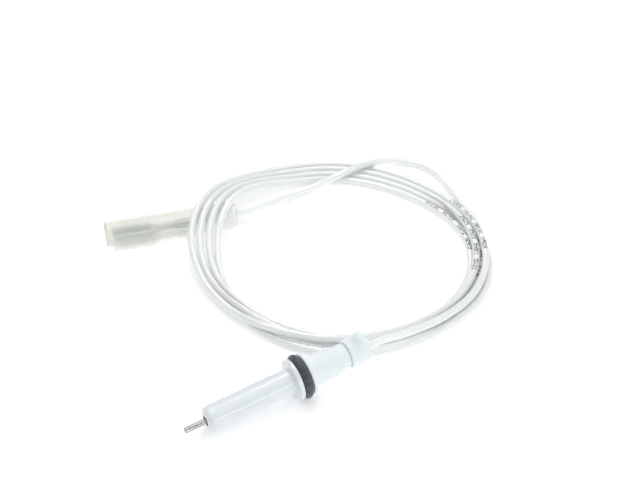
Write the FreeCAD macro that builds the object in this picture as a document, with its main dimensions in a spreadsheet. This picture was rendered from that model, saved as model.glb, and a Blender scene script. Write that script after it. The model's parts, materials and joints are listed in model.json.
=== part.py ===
import FreeCAD, Part
import Sketcher
import math
import os
import re

# A flame sensor probe: a steel rod in a glazed ceramic nose with a sealed collar, a white rear
# housing and boot, and a thin high-temperature lead. The lead is wound in a loose coil and ends
# in a female spade terminal under a translucent sleeve that slides back along the lead.
#
# Frame, in mm: the object lies on the plane z = 0. The probe's axis runs along +X from the rod's
# tip to the boot and dips towards the tip, because the nose's rim and the seal ring are what it
# rests on. The origin is at the bottom centre of the probe's box, without the lead. The probe's
# pieces are drawn along their own X axis from the nose's front face, and share one Placement.

os.makedirs("parts", exist_ok=True)
doc = FreeCAD.newDocument("flame_sensor_probe")

# ------------------------------------------------------------------ driving dimensions

SIZES = [
    # steel electrode rod
    ("rod_dia", 2.0), ("rod_exposed", 7.4), ("rod_tip_round", 0.8), ("rod_reach", 4.5),
    # ceramic nose, its flange, and the spigot that enters the housing
    ("nose_dia", 9.0), ("nose_length", 31.2), ("nose_round", 2.0), ("nose_fillet", 0.7),
    ("flange_dia", 14.5), ("flange_width", 1.6), ("flange_round", 0.55),
    ("spigot_dia", 8.6), ("spigot_reach", 3.6), ("fit_gap", 0.05),
    ("recess_dia", 3.2), ("recess_depth", 2.4), ("cement_setback", 0.8),
    # seal ring
    ("seal_section", 3.4),
    # rear housing
    ("rear_flange_dia", 14.2), ("rear_flange_width", 1.5), ("rear_flange_round", 0.5),
    ("housing_dia", 10.2), ("housing_length", 9.8), ("housing_round", 0.8), ("cavity_dia", 7.0),
    # neck bush, boot and exit grommet
    ("bush_dia", 8.8), ("bush_length", 4.6), ("bush_spigot", 2.0),
    ("boot_dia", 10.0), ("boot_length", 7.2), ("boot_round", 1.1), ("boot_front_round", 0.4),
    ("grommet_dia", 5.6), ("grommet_out", 1.5), ("grommet_in", 3.0), ("stem_dia", 4.6),
    # crimp that joins the rod to the lead's core
    ("crimp_dia", 3.4), ("crimp_on_rod", 3.5), ("crimp_on_core", 5.0), ("core_bare", 0.6),
    # lead
    ("lead_dia", 2.8), ("core_dia", 1.2), ("first_run", 13.0),
    # coil: an oval band, with a hump where it crosses over the sleeve
    ("coil_x", 57.2), ("coil_y", 60.5), ("coil_turn", 108.9), ("coil_major", 61.5),
    ("coil_minor", 53.6), ("hole_x", 56.0), ("hole_y", 56.5), ("hole_major", 50.0),
    ("hole_minor", 47.0), ("coil_height", 5.6), ("hump_foot", 30.0), ("hump_top", 9.0),
    ("hump_angle", 139.0), ("hump_strands", 1.2), ("nest_gap", 0.3),
    # spade terminal
    ("tab_width", 6.3), ("tab_play", 0.3), ("sheet_thick", 0.45), ("receptacle_height", 2.8),
    ("receptacle_length", 15.0), ("receptacle_round", 1.1), ("lip_gap", 2.6), ("neck_length", 4.0),
    ("core_crimp", 5.0), ("core_crimp_dia", 2.4), ("crimp_notch", 1.0), ("hold_crimp", 5.0),
    ("hold_crimp_dia", 3.8), ("floor_drop", 1.55), ("terminal_drop", 0.5),
    # sliding sleeve over the terminal
    ("sleeve_width", 11.6), ("sleeve_height", 9.2), ("sleeve_wall", 0.9), ("sleeve_length", 51.0),
    ("terminal_inset", 3.0), ("mouth_x", -19.2), ("mouth_y", 107.4), ("sleeve_angle", -13.2),
]

sheet = doc.addObject("Spreadsheet::Sheet", "Sizes")
for row, (alias, value) in enumerate(SIZES, start=1):
    sheet.set("A%d" % row, alias)
    sheet.set("B%d" % row, str(value))
    sheet.setAlias("B%d" % row, alias)
doc.recompute()

ALIASES = {alias for alias, value in SIZES}


def bound(formula):
    """The formula with each alias turned into a reference to the sheet."""
    return re.sub(r"[a-z_]+", lambda m: "Sizes." + m[0] if m[0] in ALIASES else m[0], formula)


def worked(formula):
    """The formula's value in mm, from the sheet."""
    return float(sheet.evalExpression(formula))


# Stations along the probe's axis, from the nose's front face.
FLANGE_REAR = "(nose_length + flange_width)"
SEAL_REAR = "(%s + seal_section)" % FLANGE_REAR
REAR_FLANGE_REAR = "(%s + rear_flange_width)" % SEAL_REAR
SPIGOT_REAR = "(%s + spigot_reach)" % SEAL_REAR
HOUSING_REAR = "(%s + housing_length)" % REAR_FLANGE_REAR
BUSH_FRONT = "(%s - bush_spigot)" % HOUSING_REAR
BUSH_REAR = "(%s + bush_length)" % HOUSING_REAR
BOOT_REAR = "(%s + boot_length)" % BUSH_REAR
EXIT = "(%s + grommet_out)" % BOOT_REAR
ROD_REAR = "(%s + rod_reach)" % SPIGOT_REAR
CRIMP_FRONT = "(%s - crimp_on_rod)" % ROD_REAR
CRIMP_REAR = "(%s + crimp_on_core)" % ROD_REAR
LEAD_FRONT = "(%s + core_bare)" % CRIMP_REAR

# ------------------------------------------------------------------ helpers


def plane_of(body, role):
    """One of the body's own origin planes."""
    return next(f for f in body.Origin.OriginFeatures if f.Role == role)


def pin_vertex(sketch, edge, axis, formula):
    """Hold the start of an edge at a formula's distance from the origin, along X or Y."""
    if formula == "0":
        line = -2 if axis == "X" else -1
        sketch.addConstraint(Sketcher.Constraint("PointOnObject", edge, 1, line))
        return
    rule = Sketcher.Constraint("Distance" + axis, -1, 1, edge, 1, worked(formula))
    number = sketch.addConstraint(rule)
    sketch.setExpression("Constraints[%d]" % number, bound(formula))


def turned(label, outline):
    """A body turned about X from an outline of (station, radius) formulas."""
    body = doc.addObject("PartDesign::Body", label)
    sketch = body.newObject("Sketcher::SketchObject", label + "_outline")
    sketch.AttachmentSupport = (plane_of(body, "XZ_Plane"), [""])
    sketch.MapMode = "FlatFace"
    corners = [FreeCAD.Vector(worked(s), worked(r), 0) for s, r in outline]
    count = len(corners)
    for i in range(count):
        sketch.addGeometry(Part.LineSegment(corners[i], corners[(i + 1) % count]))
    for i in range(count):
        sketch.addConstraint(Sketcher.Constraint("Coincident", i, 2, (i + 1) % count, 1))
    for i, (station, radius) in enumerate(outline):
        pin_vertex(sketch, i, "X", station)
        pin_vertex(sketch, i, "Y", radius)
    spin = body.newObject("PartDesign::Revolution", label + "_turned")
    spin.Profile = sketch
    spin.ReferenceAxis = (sketch, ["H_Axis"])
    spin.Angle = 360
    sketch.Visibility = False
    doc.recompute()
    return body


def rounded(body, radius, rims):
    """Round the body's circular edges at the given (station, radius) formulas."""
    tip = body.Tip
    names = []
    for station, rim in rims:
        for number, edge in enumerate(tip.Shape.Edges, start=1):
            curve = edge.Curve
            if not isinstance(curve, Part.Circle):
                continue
            near_x = abs(curve.Center.x - worked(station)) < 1e-4
            if near_x and abs(curve.Radius - worked(rim)) < 1e-4:
                names.append("Edge%d" % number)
    fillet = body.newObject("PartDesign::Fillet", "%s_round_%d" % (body.Label, len(body.Group)))
    fillet.Base = (tip, names)
    fillet.setExpression("Radius", bound(radius))
    doc.recompute()
    return body


def primitive(kind, label, **formulas):
    """A Part primitive whose named properties are bound to formulas."""
    shape = doc.addObject("Part::" + kind, label)
    for name, formula in formulas.items():
        shape.setExpression(name, bound(formula))
    return shape


def shift(shape, x="0", y="0", z="0"):
    """Bind an object's position to formulas."""
    for axis, formula in (("x", x), ("y", y), ("z", z)):
        shape.setExpression("Placement.Base." + axis, bound(formula))
    return shape


def joined(label, *pieces):
    """Fuse pieces into one solid."""
    fuse = doc.addObject("Part::MultiFuse", label)
    fuse.Shapes = list(pieces)
    return fuse


def cut(label, base, tool):
    """Base without tool."""
    result = doc.addObject("Part::Cut", label)
    result.Base = base
    result.Tool = tool
    return result


ALONG_X = FreeCAD.Rotation(FreeCAD.Vector(0, 1, 0), 90)


def rod_along_x(label, radius, start, length):
    """A cylinder along X from a station."""
    shape = primitive("Cylinder", label, Radius=radius, Height=length)
    shape.Placement.Rotation = ALONG_X
    return shift(shape, start)


# ------------------------------------------------------------------ how the probe lies
# The seal ring's round section and the nose's rounded rim both touch z = 0. With the ring's
# middle circle of radius m and section radius r at station s, and the rim's circle of radius n
# and rounding f, the dip t solves (s - f) sin t - (m - n) cos t = r - f.

seal_r = worked("seal_section / 2")
seal_mid = worked("(spigot_dia + seal_section) / 2")
seal_station = worked(FLANGE_REAR + " + seal_section / 2")
rim_round = worked("nose_round")
rim_mid = worked("nose_dia / 2 - nose_round")
span = seal_station - rim_round
drop = seal_mid - rim_mid
DIP = math.asin((seal_r - rim_round) / math.hypot(span, drop)) + math.atan2(drop, span)
DIP_DEG = math.degrees(DIP)

tip_x = -worked("rod_exposed") * math.cos(DIP)
exit_x = worked(EXIT) * math.cos(DIP) + worked("grommet_dia / 2") * math.sin(DIP)
seal_height = seal_mid * math.cos(DIP) + seal_r
PROBE = FreeCAD.Placement(
    FreeCAD.Vector(-(tip_x + exit_x) / 2, 0, seal_height - seal_station * math.sin(DIP)),
    FreeCAD.Rotation(FreeCAD.Vector(0, 1, 0), -DIP_DEG),
)


def on_axis(station):
    """Place of a point on the probe's axis."""
    return PROBE.multVec(FreeCAD.Vector(station, 0, 0))


# ------------------------------------------------------------------ probe pieces


def make_rod():
    """Steel rod with a rounded tip, from in front of the nose to inside the crimp."""
    outline = [("-rod_exposed", "0"), ("-rod_exposed", "rod_dia / 2"),
               (ROD_REAR, "rod_dia / 2"), (ROD_REAR, "0")]
    return rounded(turned("electrode_rod", outline), "rod_tip_round",
                   [("-rod_exposed", "rod_dia / 2")])


def make_insulator():
    """Glazed nose with a flange, a spigot behind it and a bore for the rod."""
    bore = "(rod_dia / 2 + fit_gap)"
    outline = [("0", "recess_dia / 2"), ("0", "nose_dia / 2"), ("nose_length", "nose_dia / 2"),
               ("nose_length", "flange_dia / 2"), (FLANGE_REAR, "flange_dia / 2"),
               (FLANGE_REAR, "spigot_dia / 2"), (SPIGOT_REAR, "spigot_dia / 2"),
               (SPIGOT_REAR, bore), ("recess_depth", bore), ("recess_depth", "recess_dia / 2")]
    body = turned("ceramic_insulator", outline)
    rounded(body, "nose_round", [("0", "nose_dia / 2")])
    rounded(body, "nose_fillet", [("nose_length", "nose_dia / 2")])
    return rounded(body, "flange_round",
                   [("nose_length", "flange_dia / 2"), (FLANGE_REAR, "flange_dia / 2")])


def make_cement():
    """Cement that fixes the rod in the recess at the nose's front."""
    outline = [("cement_setback", "rod_dia / 2"), ("cement_setback", "recess_dia / 2"),
               ("recess_depth", "recess_dia / 2"), ("recess_depth", "rod_dia / 2")]
    return turned("rod_cement", outline)


def make_seal():
    """Seal ring, round in section, on the spigot between the two flanges."""
    return primitive("Torus", "seal_ring", Radius1="(spigot_dia + seal_section) / 2",
                     Radius2="seal_section / 2")


def make_housing():
    """Rear housing: a flange behind the seal, a barrel, and a cavity for the crimp."""
    socket = "(spigot_dia / 2 + fit_gap)"
    outline = [(SEAL_REAR, socket), (SEAL_REAR, "rear_flange_dia / 2"),
               (REAR_FLANGE_REAR, "rear_flange_dia / 2"), (REAR_FLANGE_REAR, "housing_dia / 2"),
               (HOUSING_REAR, "housing_dia / 2"), (HOUSING_REAR, "cavity_dia / 2"),
               (SPIGOT_REAR, "cavity_dia / 2"), (SPIGOT_REAR, socket)]
    body = turned("rear_housing", outline)
    rounded(body, "rear_flange_round",
            [(SEAL_REAR, "rear_flange_dia / 2"), (REAR_FLANGE_REAR, "rear_flange_dia / 2")])
    return rounded(body, "housing_round", [(HOUSING_REAR, "housing_dia / 2")])


def make_potting():
    """Potting that fills the cavity round the rod and the crimp's front."""
    outline = [(SPIGOT_REAR, "rod_dia / 2"), (SPIGOT_REAR, "cavity_dia / 2"),
               (BUSH_FRONT, "cavity_dia / 2"), (BUSH_FRONT, "crimp_dia / 2"),
               (CRIMP_FRONT, "crimp_dia / 2"), (CRIMP_FRONT, "rod_dia / 2")]
    return turned("cavity_potting", outline)


def make_crimp():
    """Crimp ferrule, bored for the rod at its front and for the lead's core behind."""
    outline = [(CRIMP_FRONT, "rod_dia / 2"), (CRIMP_FRONT, "crimp_dia / 2"),
               (CRIMP_REAR, "crimp_dia / 2"), (CRIMP_REAR, "core_dia / 2"),
               (ROD_REAR, "core_dia / 2"), (ROD_REAR, "rod_dia / 2")]
    return turned("crimp_ferrule", outline)


def make_core_rear():
    """Bare end of the lead's core, from the rod's end to the insulation."""
    outline = [(ROD_REAR, "0"), (ROD_REAR, "core_dia / 2"), (LEAD_FRONT, "core_dia / 2"),
               (LEAD_FRONT, "0")]
    return turned("rear_core", outline)


def make_bush():
    """Neck bush whose spigot closes the housing's cavity."""
    bore = "(crimp_dia / 2 + fit_gap)"
    outline = [(BUSH_FRONT, bore), (BUSH_FRONT, "cavity_dia / 2"),
               (HOUSING_REAR, "cavity_dia / 2"), (HOUSING_REAR, "bush_dia / 2"),
               (BUSH_REAR, "bush_dia / 2"), (BUSH_REAR, bore)]
    return turned("neck_bush", outline)


def make_boot():
    """Boot behind the neck, with a pocket for the grommet's stem."""
    pocket = "(%s - grommet_in)" % BOOT_REAR
    outline = [(BUSH_REAR, "lead_dia / 2"), (BUSH_REAR, "boot_dia / 2"),
               (BOOT_REAR, "boot_dia / 2"), (BOOT_REAR, "stem_dia / 2"),
               (pocket, "stem_dia / 2"), (pocket, "lead_dia / 2")]
    body = turned("rear_boot", outline)
    rounded(body, "boot_front_round", [(BUSH_REAR, "boot_dia / 2")])
    return rounded(body, "boot_round", [(BOOT_REAR, "boot_dia / 2")])


def make_grommet():
    """Exit grommet: a stem inside the boot and a rim outside it."""
    stem_front = "(%s - grommet_in)" % BOOT_REAR
    outline = [(stem_front, "lead_dia / 2"), (stem_front, "stem_dia / 2"),
               (BOOT_REAR, "stem_dia / 2"), (BOOT_REAR, "grommet_dia / 2"),
               (EXIT, "grommet_dia / 2"), (EXIT, "lead_dia / 2")]
    return turned("exit_grommet", outline)


nodes = []
for make in (make_rod, make_insulator, make_cement, make_housing, make_potting, make_crimp,
             make_core_rear, make_bush, make_boot, make_grommet):
    piece = make()
    piece.Placement = PROBE
    nodes.append(piece)
seal = make_seal()
seal.Placement = PROBE.multiply(FreeCAD.Placement(FreeCAD.Vector(seal_station, 0, 0), ALONG_X))
nodes.append(seal)

# ------------------------------------------------------------------ sleeve and terminal
# Both are drawn along X from the sleeve's mouth, and turned together about Z.

MOUTH = FreeCAD.Placement(
    FreeCAD.Vector(worked("mouth_x"), worked("mouth_y"), worked("sleeve_height / 2")),
    FreeCAD.Rotation(FreeCAD.Vector(0, 0, 1), worked("sleeve_angle")),
)
TERMINAL = MOUTH.multiply(
    FreeCAD.Placement(FreeCAD.Vector(0, 0, -worked("terminal_drop")), FreeCAD.Rotation())
)
NECK = "(terminal_inset + receptacle_length)"
CORE_CRIMP = "(%s + neck_length)" % NECK
HOLD_CRIMP = "(%s + core_crimp + crimp_notch)" % CORE_CRIMP
LEAD_REAR = "(%s + crimp_notch / 2)" % HOLD_CRIMP


def oval_rod(label, width, height, length):
    """An oval prism along X from the sleeve's mouth."""
    oval = primitive("Ellipse", label + "_oval", MajorRadius=width, MinorRadius=height)
    prism = doc.addObject("Part::Extrusion", label)
    prism.Base = oval
    prism.DirMode = "Custom"
    prism.Dir = FreeCAD.Vector(1, 0, 0)
    prism.setExpression("LengthFwd", bound(length))
    prism.Solid = True
    # the ellipse's long axis lies along Y and its short axis along Z
    oval.Placement.Rotation = FreeCAD.Rotation(
        FreeCAD.Vector(0, 1, 0), FreeCAD.Vector(0, 0, 1), FreeCAD.Vector(1, 0, 0), "XYZ")
    return prism


def make_sleeve():
    """Open-ended oval sleeve."""
    outer = oval_rod("sleeve_outside", "sleeve_width / 2", "sleeve_height / 2", "sleeve_length")
    inner = oval_rod("sleeve_inside", "sleeve_width / 2 - sleeve_wall",
                     "sleeve_height / 2 - sleeve_wall", "sleeve_length")
    return cut("terminal_sleeve", outer, inner)


def tube_along_x(label, outside, inside, start, length):
    """A tube along X from a station."""
    outer = rod_along_x(label + "_outside", outside, start, length)
    inner = rod_along_x(label + "_inside", inside, start, length)
    return cut(label, outer, inner)


def make_terminal():
    """Female spade terminal: receptacle with curled lips, neck, and two crimps."""
    half = "(tab_width / 2 + tab_play / 2 + sheet_thick)"
    outside = primitive("Box", "receptacle_outside", Length="receptacle_length",
                        Width="2 * " + half, Height="receptacle_height")
    shift(outside, "terminal_inset", "-" + half, "-floor_drop")
    doc.recompute()
    soft = doc.addObject("Part::Fillet", "receptacle_soft")
    soft.Base = outside
    radius = worked("receptacle_round")
    long_edges = []
    for number, edge in enumerate(outside.Shape.Edges, start=1):
        ends = [vertex.Point for vertex in edge.Vertexes]
        if abs(ends[0].x - ends[1].x) > worked("receptacle_length / 2"):
            long_edges.append((number, radius, radius))
    soft.Edges = long_edges
    channel = primitive("Box", "receptacle_channel", Length="receptacle_length",
                        Width="tab_width + tab_play",
                        Height="receptacle_height - 2 * sheet_thick")
    shift(channel, "terminal_inset", "-(tab_width + tab_play) / 2", "sheet_thick - floor_drop")
    slot = primitive("Box", "receptacle_slot", Length="receptacle_length", Width="lip_gap",
                     Height="receptacle_height")
    shift(slot, "terminal_inset", "-lip_gap / 2", "sheet_thick - floor_drop")
    shell = cut("receptacle", cut("receptacle_tube", soft, channel), slot)

    neck = primitive("Wedge", "terminal_neck", Xmin="-" + half, Xmax=half,
                     X2min="-core_crimp_dia / 2", X2max="core_crimp_dia / 2",
                     Ymin="0", Ymax="neck_length + crimp_notch",
                     Zmin="-sheet_thick", Zmax="0", Z2min="-sheet_thick", Z2max="0")
    # the wedge's length runs along X, its width along Y
    neck.Placement.Rotation = FreeCAD.Rotation(
        FreeCAD.Vector(0, -1, 0), FreeCAD.Vector(1, 0, 0), FreeCAD.Vector(0, 0, 1), "XYZ")
    shift(neck, NECK + " - crimp_notch / 2", "0", "sheet_thick - floor_drop")

    core_side = tube_along_x("core_barrel", "core_crimp_dia / 2", "core_dia / 2", CORE_CRIMP,
                             "core_crimp")
    bridge = primitive("Box", "crimp_bridge", Length="core_crimp / 2 + 1.5 * crimp_notch",
                       Width="core_crimp_dia / 2", Height="sheet_thick")
    shift(bridge, CORE_CRIMP + " + core_crimp / 2", "-core_crimp_dia / 4", "-floor_drop")
    hold_side = tube_along_x("hold_barrel", "hold_crimp_dia / 2", "lead_dia / 2", HOLD_CRIMP,
                             "hold_crimp")
    return joined("spade_terminal", shell, neck, core_side, bridge, hold_side)


def make_core_front():
    """Bare end of the lead's core in the terminal's crimp."""
    outline = [(CORE_CRIMP, "0"), (CORE_CRIMP, "core_dia / 2"), (LEAD_REAR, "core_dia / 2"),
               (LEAD_REAR, "0")]
    return turned("front_core", outline)


sleeve = make_sleeve()
sleeve.Placement = MOUTH
terminal = make_terminal()
terminal.Placement = TERMINAL
core_front = make_core_front()
core_front.Placement = TERMINAL
nodes += [sleeve, terminal, core_front]

# ------------------------------------------------------------------ lead
# Each free stretch is a tube along straight runs joined by tangent arcs. The radius of an arc is
# 0.45 of the shorter run beside it, divided by the tangent of half the turn.

ARC_SHARE = 0.45


def rounded_route(label, points):
    """Wire of straight runs and tangent arcs through the points; prints the arcs' radii."""
    edges = []
    start = points[0]
    radii = []
    for before, corner, after in zip(points, points[1:], points[2:]):
        run_in = corner - before
        run_out = after - corner
        turn = run_in.getAngle(run_out)
        reach = ARC_SHARE * min(run_in.Length, run_out.Length)
        radii.append(reach / math.tan(turn / 2))
        into = corner - run_in.normalize() * reach
        out = corner + run_out.normalize() * reach
        chord_mid = (into + out) / 2
        inward = (chord_mid - corner).normalize()
        sagitta = math.hypot(radii[-1], reach) - radii[-1]
        middle = corner + inward * sagitta
        edges.append(Part.LineSegment(start, into).toShape())
        edges.append(Part.Arc(into, middle, out).toShape())
        start = out
    edges.append(Part.LineSegment(start, points[-1]).toShape())
    print(label, "arc radii", " ".join("%.1f" % radius for radius in radii))
    return Part.Wire(edges)


def lead_tube(label, points):
    """A tube of the lead's diameter along a rounded route."""
    wire = rounded_route(label, points)
    route = doc.addObject("Part::Feature", label + "_route")
    route.Shape = wire
    ring = primitive("Circle", label + "_section", Radius="lead_dia / 2")
    first_run = (points[1] - points[0]).normalize()
    ring.Placement = FreeCAD.Placement(
        points[0], FreeCAD.Rotation(FreeCAD.Vector(0, 0, 1), first_run))
    tube = doc.addObject("Part::Sweep", label)
    tube.Sections = [ring]
    tube.Spine = (route, ["Edge%d" % (i + 1) for i in range(len(wire.Edges))])
    tube.Solid = True
    tube.Frenet = False
    doc.recompute()
    expected = wire.Length * math.pi * worked("lead_dia / 2") ** 2
    print(label, "length %.1f mm" % wire.Length, "volume", round(tube.Shape.Volume, 2),
          "section x length", round(expected, 2))
    return tube


def points_of(rows):
    """Vectors from rows of x, y, z."""
    return [FreeCAD.Vector(*row) for row in rows]


# From inside the boot, out of the grommet, and down into the coil's near side.
tail_points = [on_axis(worked(LEAD_FRONT)), on_axis(worked(EXIT + " + lead_dia"))]
tail_points += points_of([(50.4, 0.8, 7.9), (60.0, 2.6, 5.0), (68.4, 4.8, 4.1)])

# From the terminal along the sleeve, across the floor inside the coil, up over the coil's far
# side, down to the floor in a wide loop outside it, and back against its right side.
loop_points = [
    MOUTH.multVec(FreeCAD.Vector(worked(LEAD_REAR + " + " + run), 0, -worked("terminal_drop")))
    for run in ("0", "first_run")
]
loop_points += points_of([
    (33.8, 95.3, 4.2), (45.6, 95.8, 3.9), (57.2, 99.4, 1.5), (68.4, 99.9, 1.8),
    (78.6, 98.7, 4.5), (87.8, 99.9, 5.0), (96.6, 101.2, 4.0), (104.8, 101.5, 2.4),
    (112.1, 98.0, 1.5), (117.1, 91.4, 1.5), (118.7, 83.2, 1.6), (117.5, 74.0, 1.5),
    (115.5, 64.2, 1.6), (113.8, 54.2, 1.5), (111.6, 44.6, 1.6),
])
nodes.append(lead_tube("lead_tail", tail_points))
nodes.append(lead_tube("lead_loop", loop_points))

# The coil is one solid of its outer shape: the band between two ovals, two strands high. Where
# it crosses the sleeve it rises in a hump, and it is nested round the probe's rear.


def oval_band():
    """Tall prism between the coil's outer oval and its hole."""
    sides = []
    for name, major, minor in (("coil", "coil_major", "coil_minor"),
                               ("hole", "hole_major", "hole_minor")):
        oval = primitive("Ellipse", name + "_oval", MajorRadius=major, MinorRadius=minor)
        oval.Placement.Rotation = FreeCAD.Rotation(FreeCAD.Vector(0, 0, 1), worked("coil_turn"))
        shift(oval, name + "_x", name + "_y")
        prism = doc.addObject("Part::Extrusion", name + "_prism")
        prism.Base = oval
        prism.DirMode = "Custom"
        prism.Dir = FreeCAD.Vector(0, 0, 1)
        prism.setExpression("LengthFwd", bound("sleeve_height + 3 * coil_height"))
        prism.Solid = True
        sides.append(prism)
    return cut("coil_band", *sides)


def ridge(label, place, foot, top, heights, reach):
    """Prism with sloping sides: half widths, heights and reach are formulas along its length."""
    wedge = primitive("Wedge", label, Xmin="-" + foot, Xmax=foot, X2min="-" + top, X2max=top,
                      Ymin=heights[0], Ymax=heights[1], Zmin=reach[0], Zmax=reach[1],
                      Z2min=reach[0], Z2max=reach[1])
    # the wedge's own Y runs up and its Z along the ridge
    upright = FreeCAD.Rotation(FreeCAD.Vector(0, 1, 0), FreeCAD.Vector(0, 0, 1),
                               FreeCAD.Vector(1, 0, 0), "XYZ")
    about_z = FreeCAD.Rotation(FreeCAD.Vector(0, 0, 1), worked(place[2]))
    wedge.Placement.Rotation = about_z.multiply(upright)
    return shift(wedge, place[0], place[1])


def make_coil():
    """The lead's coil: the band up to its height, with the hump, less tunnel and nest."""
    slab = primitive("Box", "coil_slab", Length="4 * coil_major", Width="4 * coil_major",
                     Height="coil_height")
    shift(slab, "coil_x - 2 * coil_major", "coil_y - 2 * coil_major")
    clear_height = "(sleeve_height + nest_gap)"
    raised = ridge("coil_hump", ("coil_x", "coil_y", "hump_angle"), "hump_foot", "hump_top",
                   ("coil_height", clear_height + " + hump_strands * lead_dia"),
                   ("hole_minor / 2", "1.5 * coil_major"))
    tunnel = ridge("coil_tunnel", ("mouth_x", "mouth_y", "sleeve_angle"),
                   "(sleeve_width / 2 + 2 * lead_dia)", "(sleeve_width / 2 + nest_gap)",
                   ("0", clear_height), ("0", "sleeve_length + coil_major / 2"))
    outer = joined("coil_profile", slab, raised)
    whole = doc.addObject("Part::Common", "coil_outside")
    whole.Base = oval_band()
    whole.Tool = outer
    nest = primitive("Cylinder", "probe_nest", Radius="boot_dia / 2 + nest_gap",
                     Height=EXIT + " - " + SEAL_REAR)
    nest.Placement = PROBE.multiply(
        FreeCAD.Placement(FreeCAD.Vector(worked(SEAL_REAR), 0, 0), ALONG_X))
    return cut("lead_coil", cut("coil_over_sleeve", whole, tunnel), nest)


nodes.append(make_coil())
doc.recompute()

# ------------------------------------------------------------------ checks and files

for item in doc.Objects:
    if "Invalid" in item.State or "Error" in item.State:
        raise RuntimeError("%s failed: %s" % (item.Label, item.State))
for node in nodes:
    shape = node.Shape
    if shape.isNull() or not shape.isValid() or len(shape.Solids) != 1:
        raise RuntimeError("%s is not one valid solid" % node.Label)
for node in nodes:
    node.Shape.exportStep("parts/%s.step" % node.Label)
    print(node.Label, "volume %.1f" % node.Shape.Volume, "z from %.2f" % node.Shape.BoundBox.ZMin)
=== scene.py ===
import json
import math

import bmesh
import bpy
import numpy as np
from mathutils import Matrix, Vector


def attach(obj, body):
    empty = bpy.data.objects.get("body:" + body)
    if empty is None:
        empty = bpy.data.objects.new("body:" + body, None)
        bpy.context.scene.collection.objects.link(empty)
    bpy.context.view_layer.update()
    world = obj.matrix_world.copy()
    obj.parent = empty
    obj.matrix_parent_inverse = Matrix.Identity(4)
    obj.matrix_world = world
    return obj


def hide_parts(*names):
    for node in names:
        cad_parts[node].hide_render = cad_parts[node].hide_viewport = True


# A flame sensor probe on a pale studio floor: steel rod, glazed nose, seal ring, white housing and
# boot, and a thin milky lead wound in a loose coil up to a sleeved spade terminal.
# Lengths are in mm in this file and become metres where a mesh is made.

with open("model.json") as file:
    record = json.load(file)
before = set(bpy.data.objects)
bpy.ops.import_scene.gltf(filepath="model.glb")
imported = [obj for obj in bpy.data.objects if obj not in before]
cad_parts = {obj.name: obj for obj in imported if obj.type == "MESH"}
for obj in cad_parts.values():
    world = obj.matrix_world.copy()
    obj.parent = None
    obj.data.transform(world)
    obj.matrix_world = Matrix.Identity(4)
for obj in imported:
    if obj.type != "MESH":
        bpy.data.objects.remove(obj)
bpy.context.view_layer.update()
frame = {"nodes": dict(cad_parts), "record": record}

MM = 0.001
TURN = 2 * math.pi
MERGE_DISTANCE = 1e-7
SLIVER_LENGTH = 1e-8

# ------------------------------------------------------------------ driving dimensions

ROD_DIA = 2.0
ROD_EXPOSED = 7.4
ROD_ROUND = 0.35
ROD_TAIL = 4.5
NOSE_DIA = 9.0
NOSE_LENGTH = 31.2
NOSE_ROUND = 2.0
NOSE_FILLET = 0.9
FLANGE_DIA = 14.5
FLANGE_WIDTH = 1.6
RECESS_DIA = 3.6
RECESS_DEPTH = 2.4
SPIGOT_DIA = 8.6
SPIGOT_REACH = 3.6
SEAL_SECTION = 3.4
REAR_FLANGE_DIA = 14.2
REAR_FLANGE_WIDTH = 1.5
HOUSING_DIA = 10.2
HOUSING_LENGTH = 9.8
CAVITY_DIA = 7.0
BUSH_DIA = 8.8
BUSH_LENGTH = 4.6
BUSH_SPIGOT = 2.0
BUSH_BORE = 3.5
BOOT_DIA = 10.0
BOOT_LENGTH = 7.2
GROMMET_DIA = 5.6
GROMMET_OUT = 1.5
GROMMET_IN = 3.0
STEM_DIA = 4.6
LEAD_DIA = 2.8
CORE_DIA = 1.2
TAB_WIDTH = 6.3
SHEET = 0.45
TERMINAL_INSET = 3.0
RECEPTACLE = 15.0
NECK = 4.0
CORE_CRIMP = 5.0
NOTCH = 1.0
HOLD_CRIMP = 5.0
TERMINAL_DROP = 0.5
FLOOR_DROP = 1.55
SLEEVE_WIDTH = 11.6
SLEEVE_HEIGHT = 9.2
SLEEVE_WALL = 0.9
SLEEVE_LENGTH = 51.0

# stations along the probe's axis, from the nose's front face
FLANGE_REAR = NOSE_LENGTH + FLANGE_WIDTH
SEAL_MID = FLANGE_REAR + SEAL_SECTION / 2
SEAL_REAR = FLANGE_REAR + SEAL_SECTION
REAR_FLANGE_REAR = SEAL_REAR + REAR_FLANGE_WIDTH
HOUSING_REAR = REAR_FLANGE_REAR + HOUSING_LENGTH
BUSH_REAR = HOUSING_REAR + BUSH_LENGTH
BOOT_REAR = BUSH_REAR + BOOT_LENGTH
EXIT = BOOT_REAR + GROMMET_OUT

# ------------------------------------------------------------------ places, from the frame


def mount(name):
    """Place in mm and direction of one of the record's mounts."""
    entry = next(m for m in frame["record"]["mounts"] if m["name"] == name)
    return np.array(entry["pos_m"], float) / MM, np.array(entry["axis"], float)


NOSE_MOUNT_AT = 16.25
nose_place, nose_outward = mount("nose_shank")
PROBE_X = -nose_outward
PROBE_Y = np.array([0.0, 1.0, 0.0])
PROBE_Z = np.cross(PROBE_X, PROBE_Y)
PROBE_START = nose_place - NOSE_MOUNT_AT * PROBE_X

receptacle_place, receptacle_outward = mount("spade_receptacle")
TERM_X = -receptacle_outward
TERM_Y = np.cross([0.0, 0.0, 1.0], TERM_X)
TERM_Z = np.array([0.0, 0.0, 1.0])
TERM_START = receptacle_place - TERMINAL_INSET * TERM_X
SLEEVE_START = TERM_START + TERMINAL_DROP * TERM_Z


def placed(start, x_dir, y_dir, z_dir, local):
    """Local points (..., 3) carried to start plus x, y and z times the three directions."""
    return start + local[..., :1] * x_dir + local[..., 1:2] * y_dir + local[..., 2:] * z_dir


def on_probe(local):
    """Points given along the probe's axis carried to the frame."""
    return placed(PROBE_START, PROBE_X, PROBE_Y, PROBE_Z, local)


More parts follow.
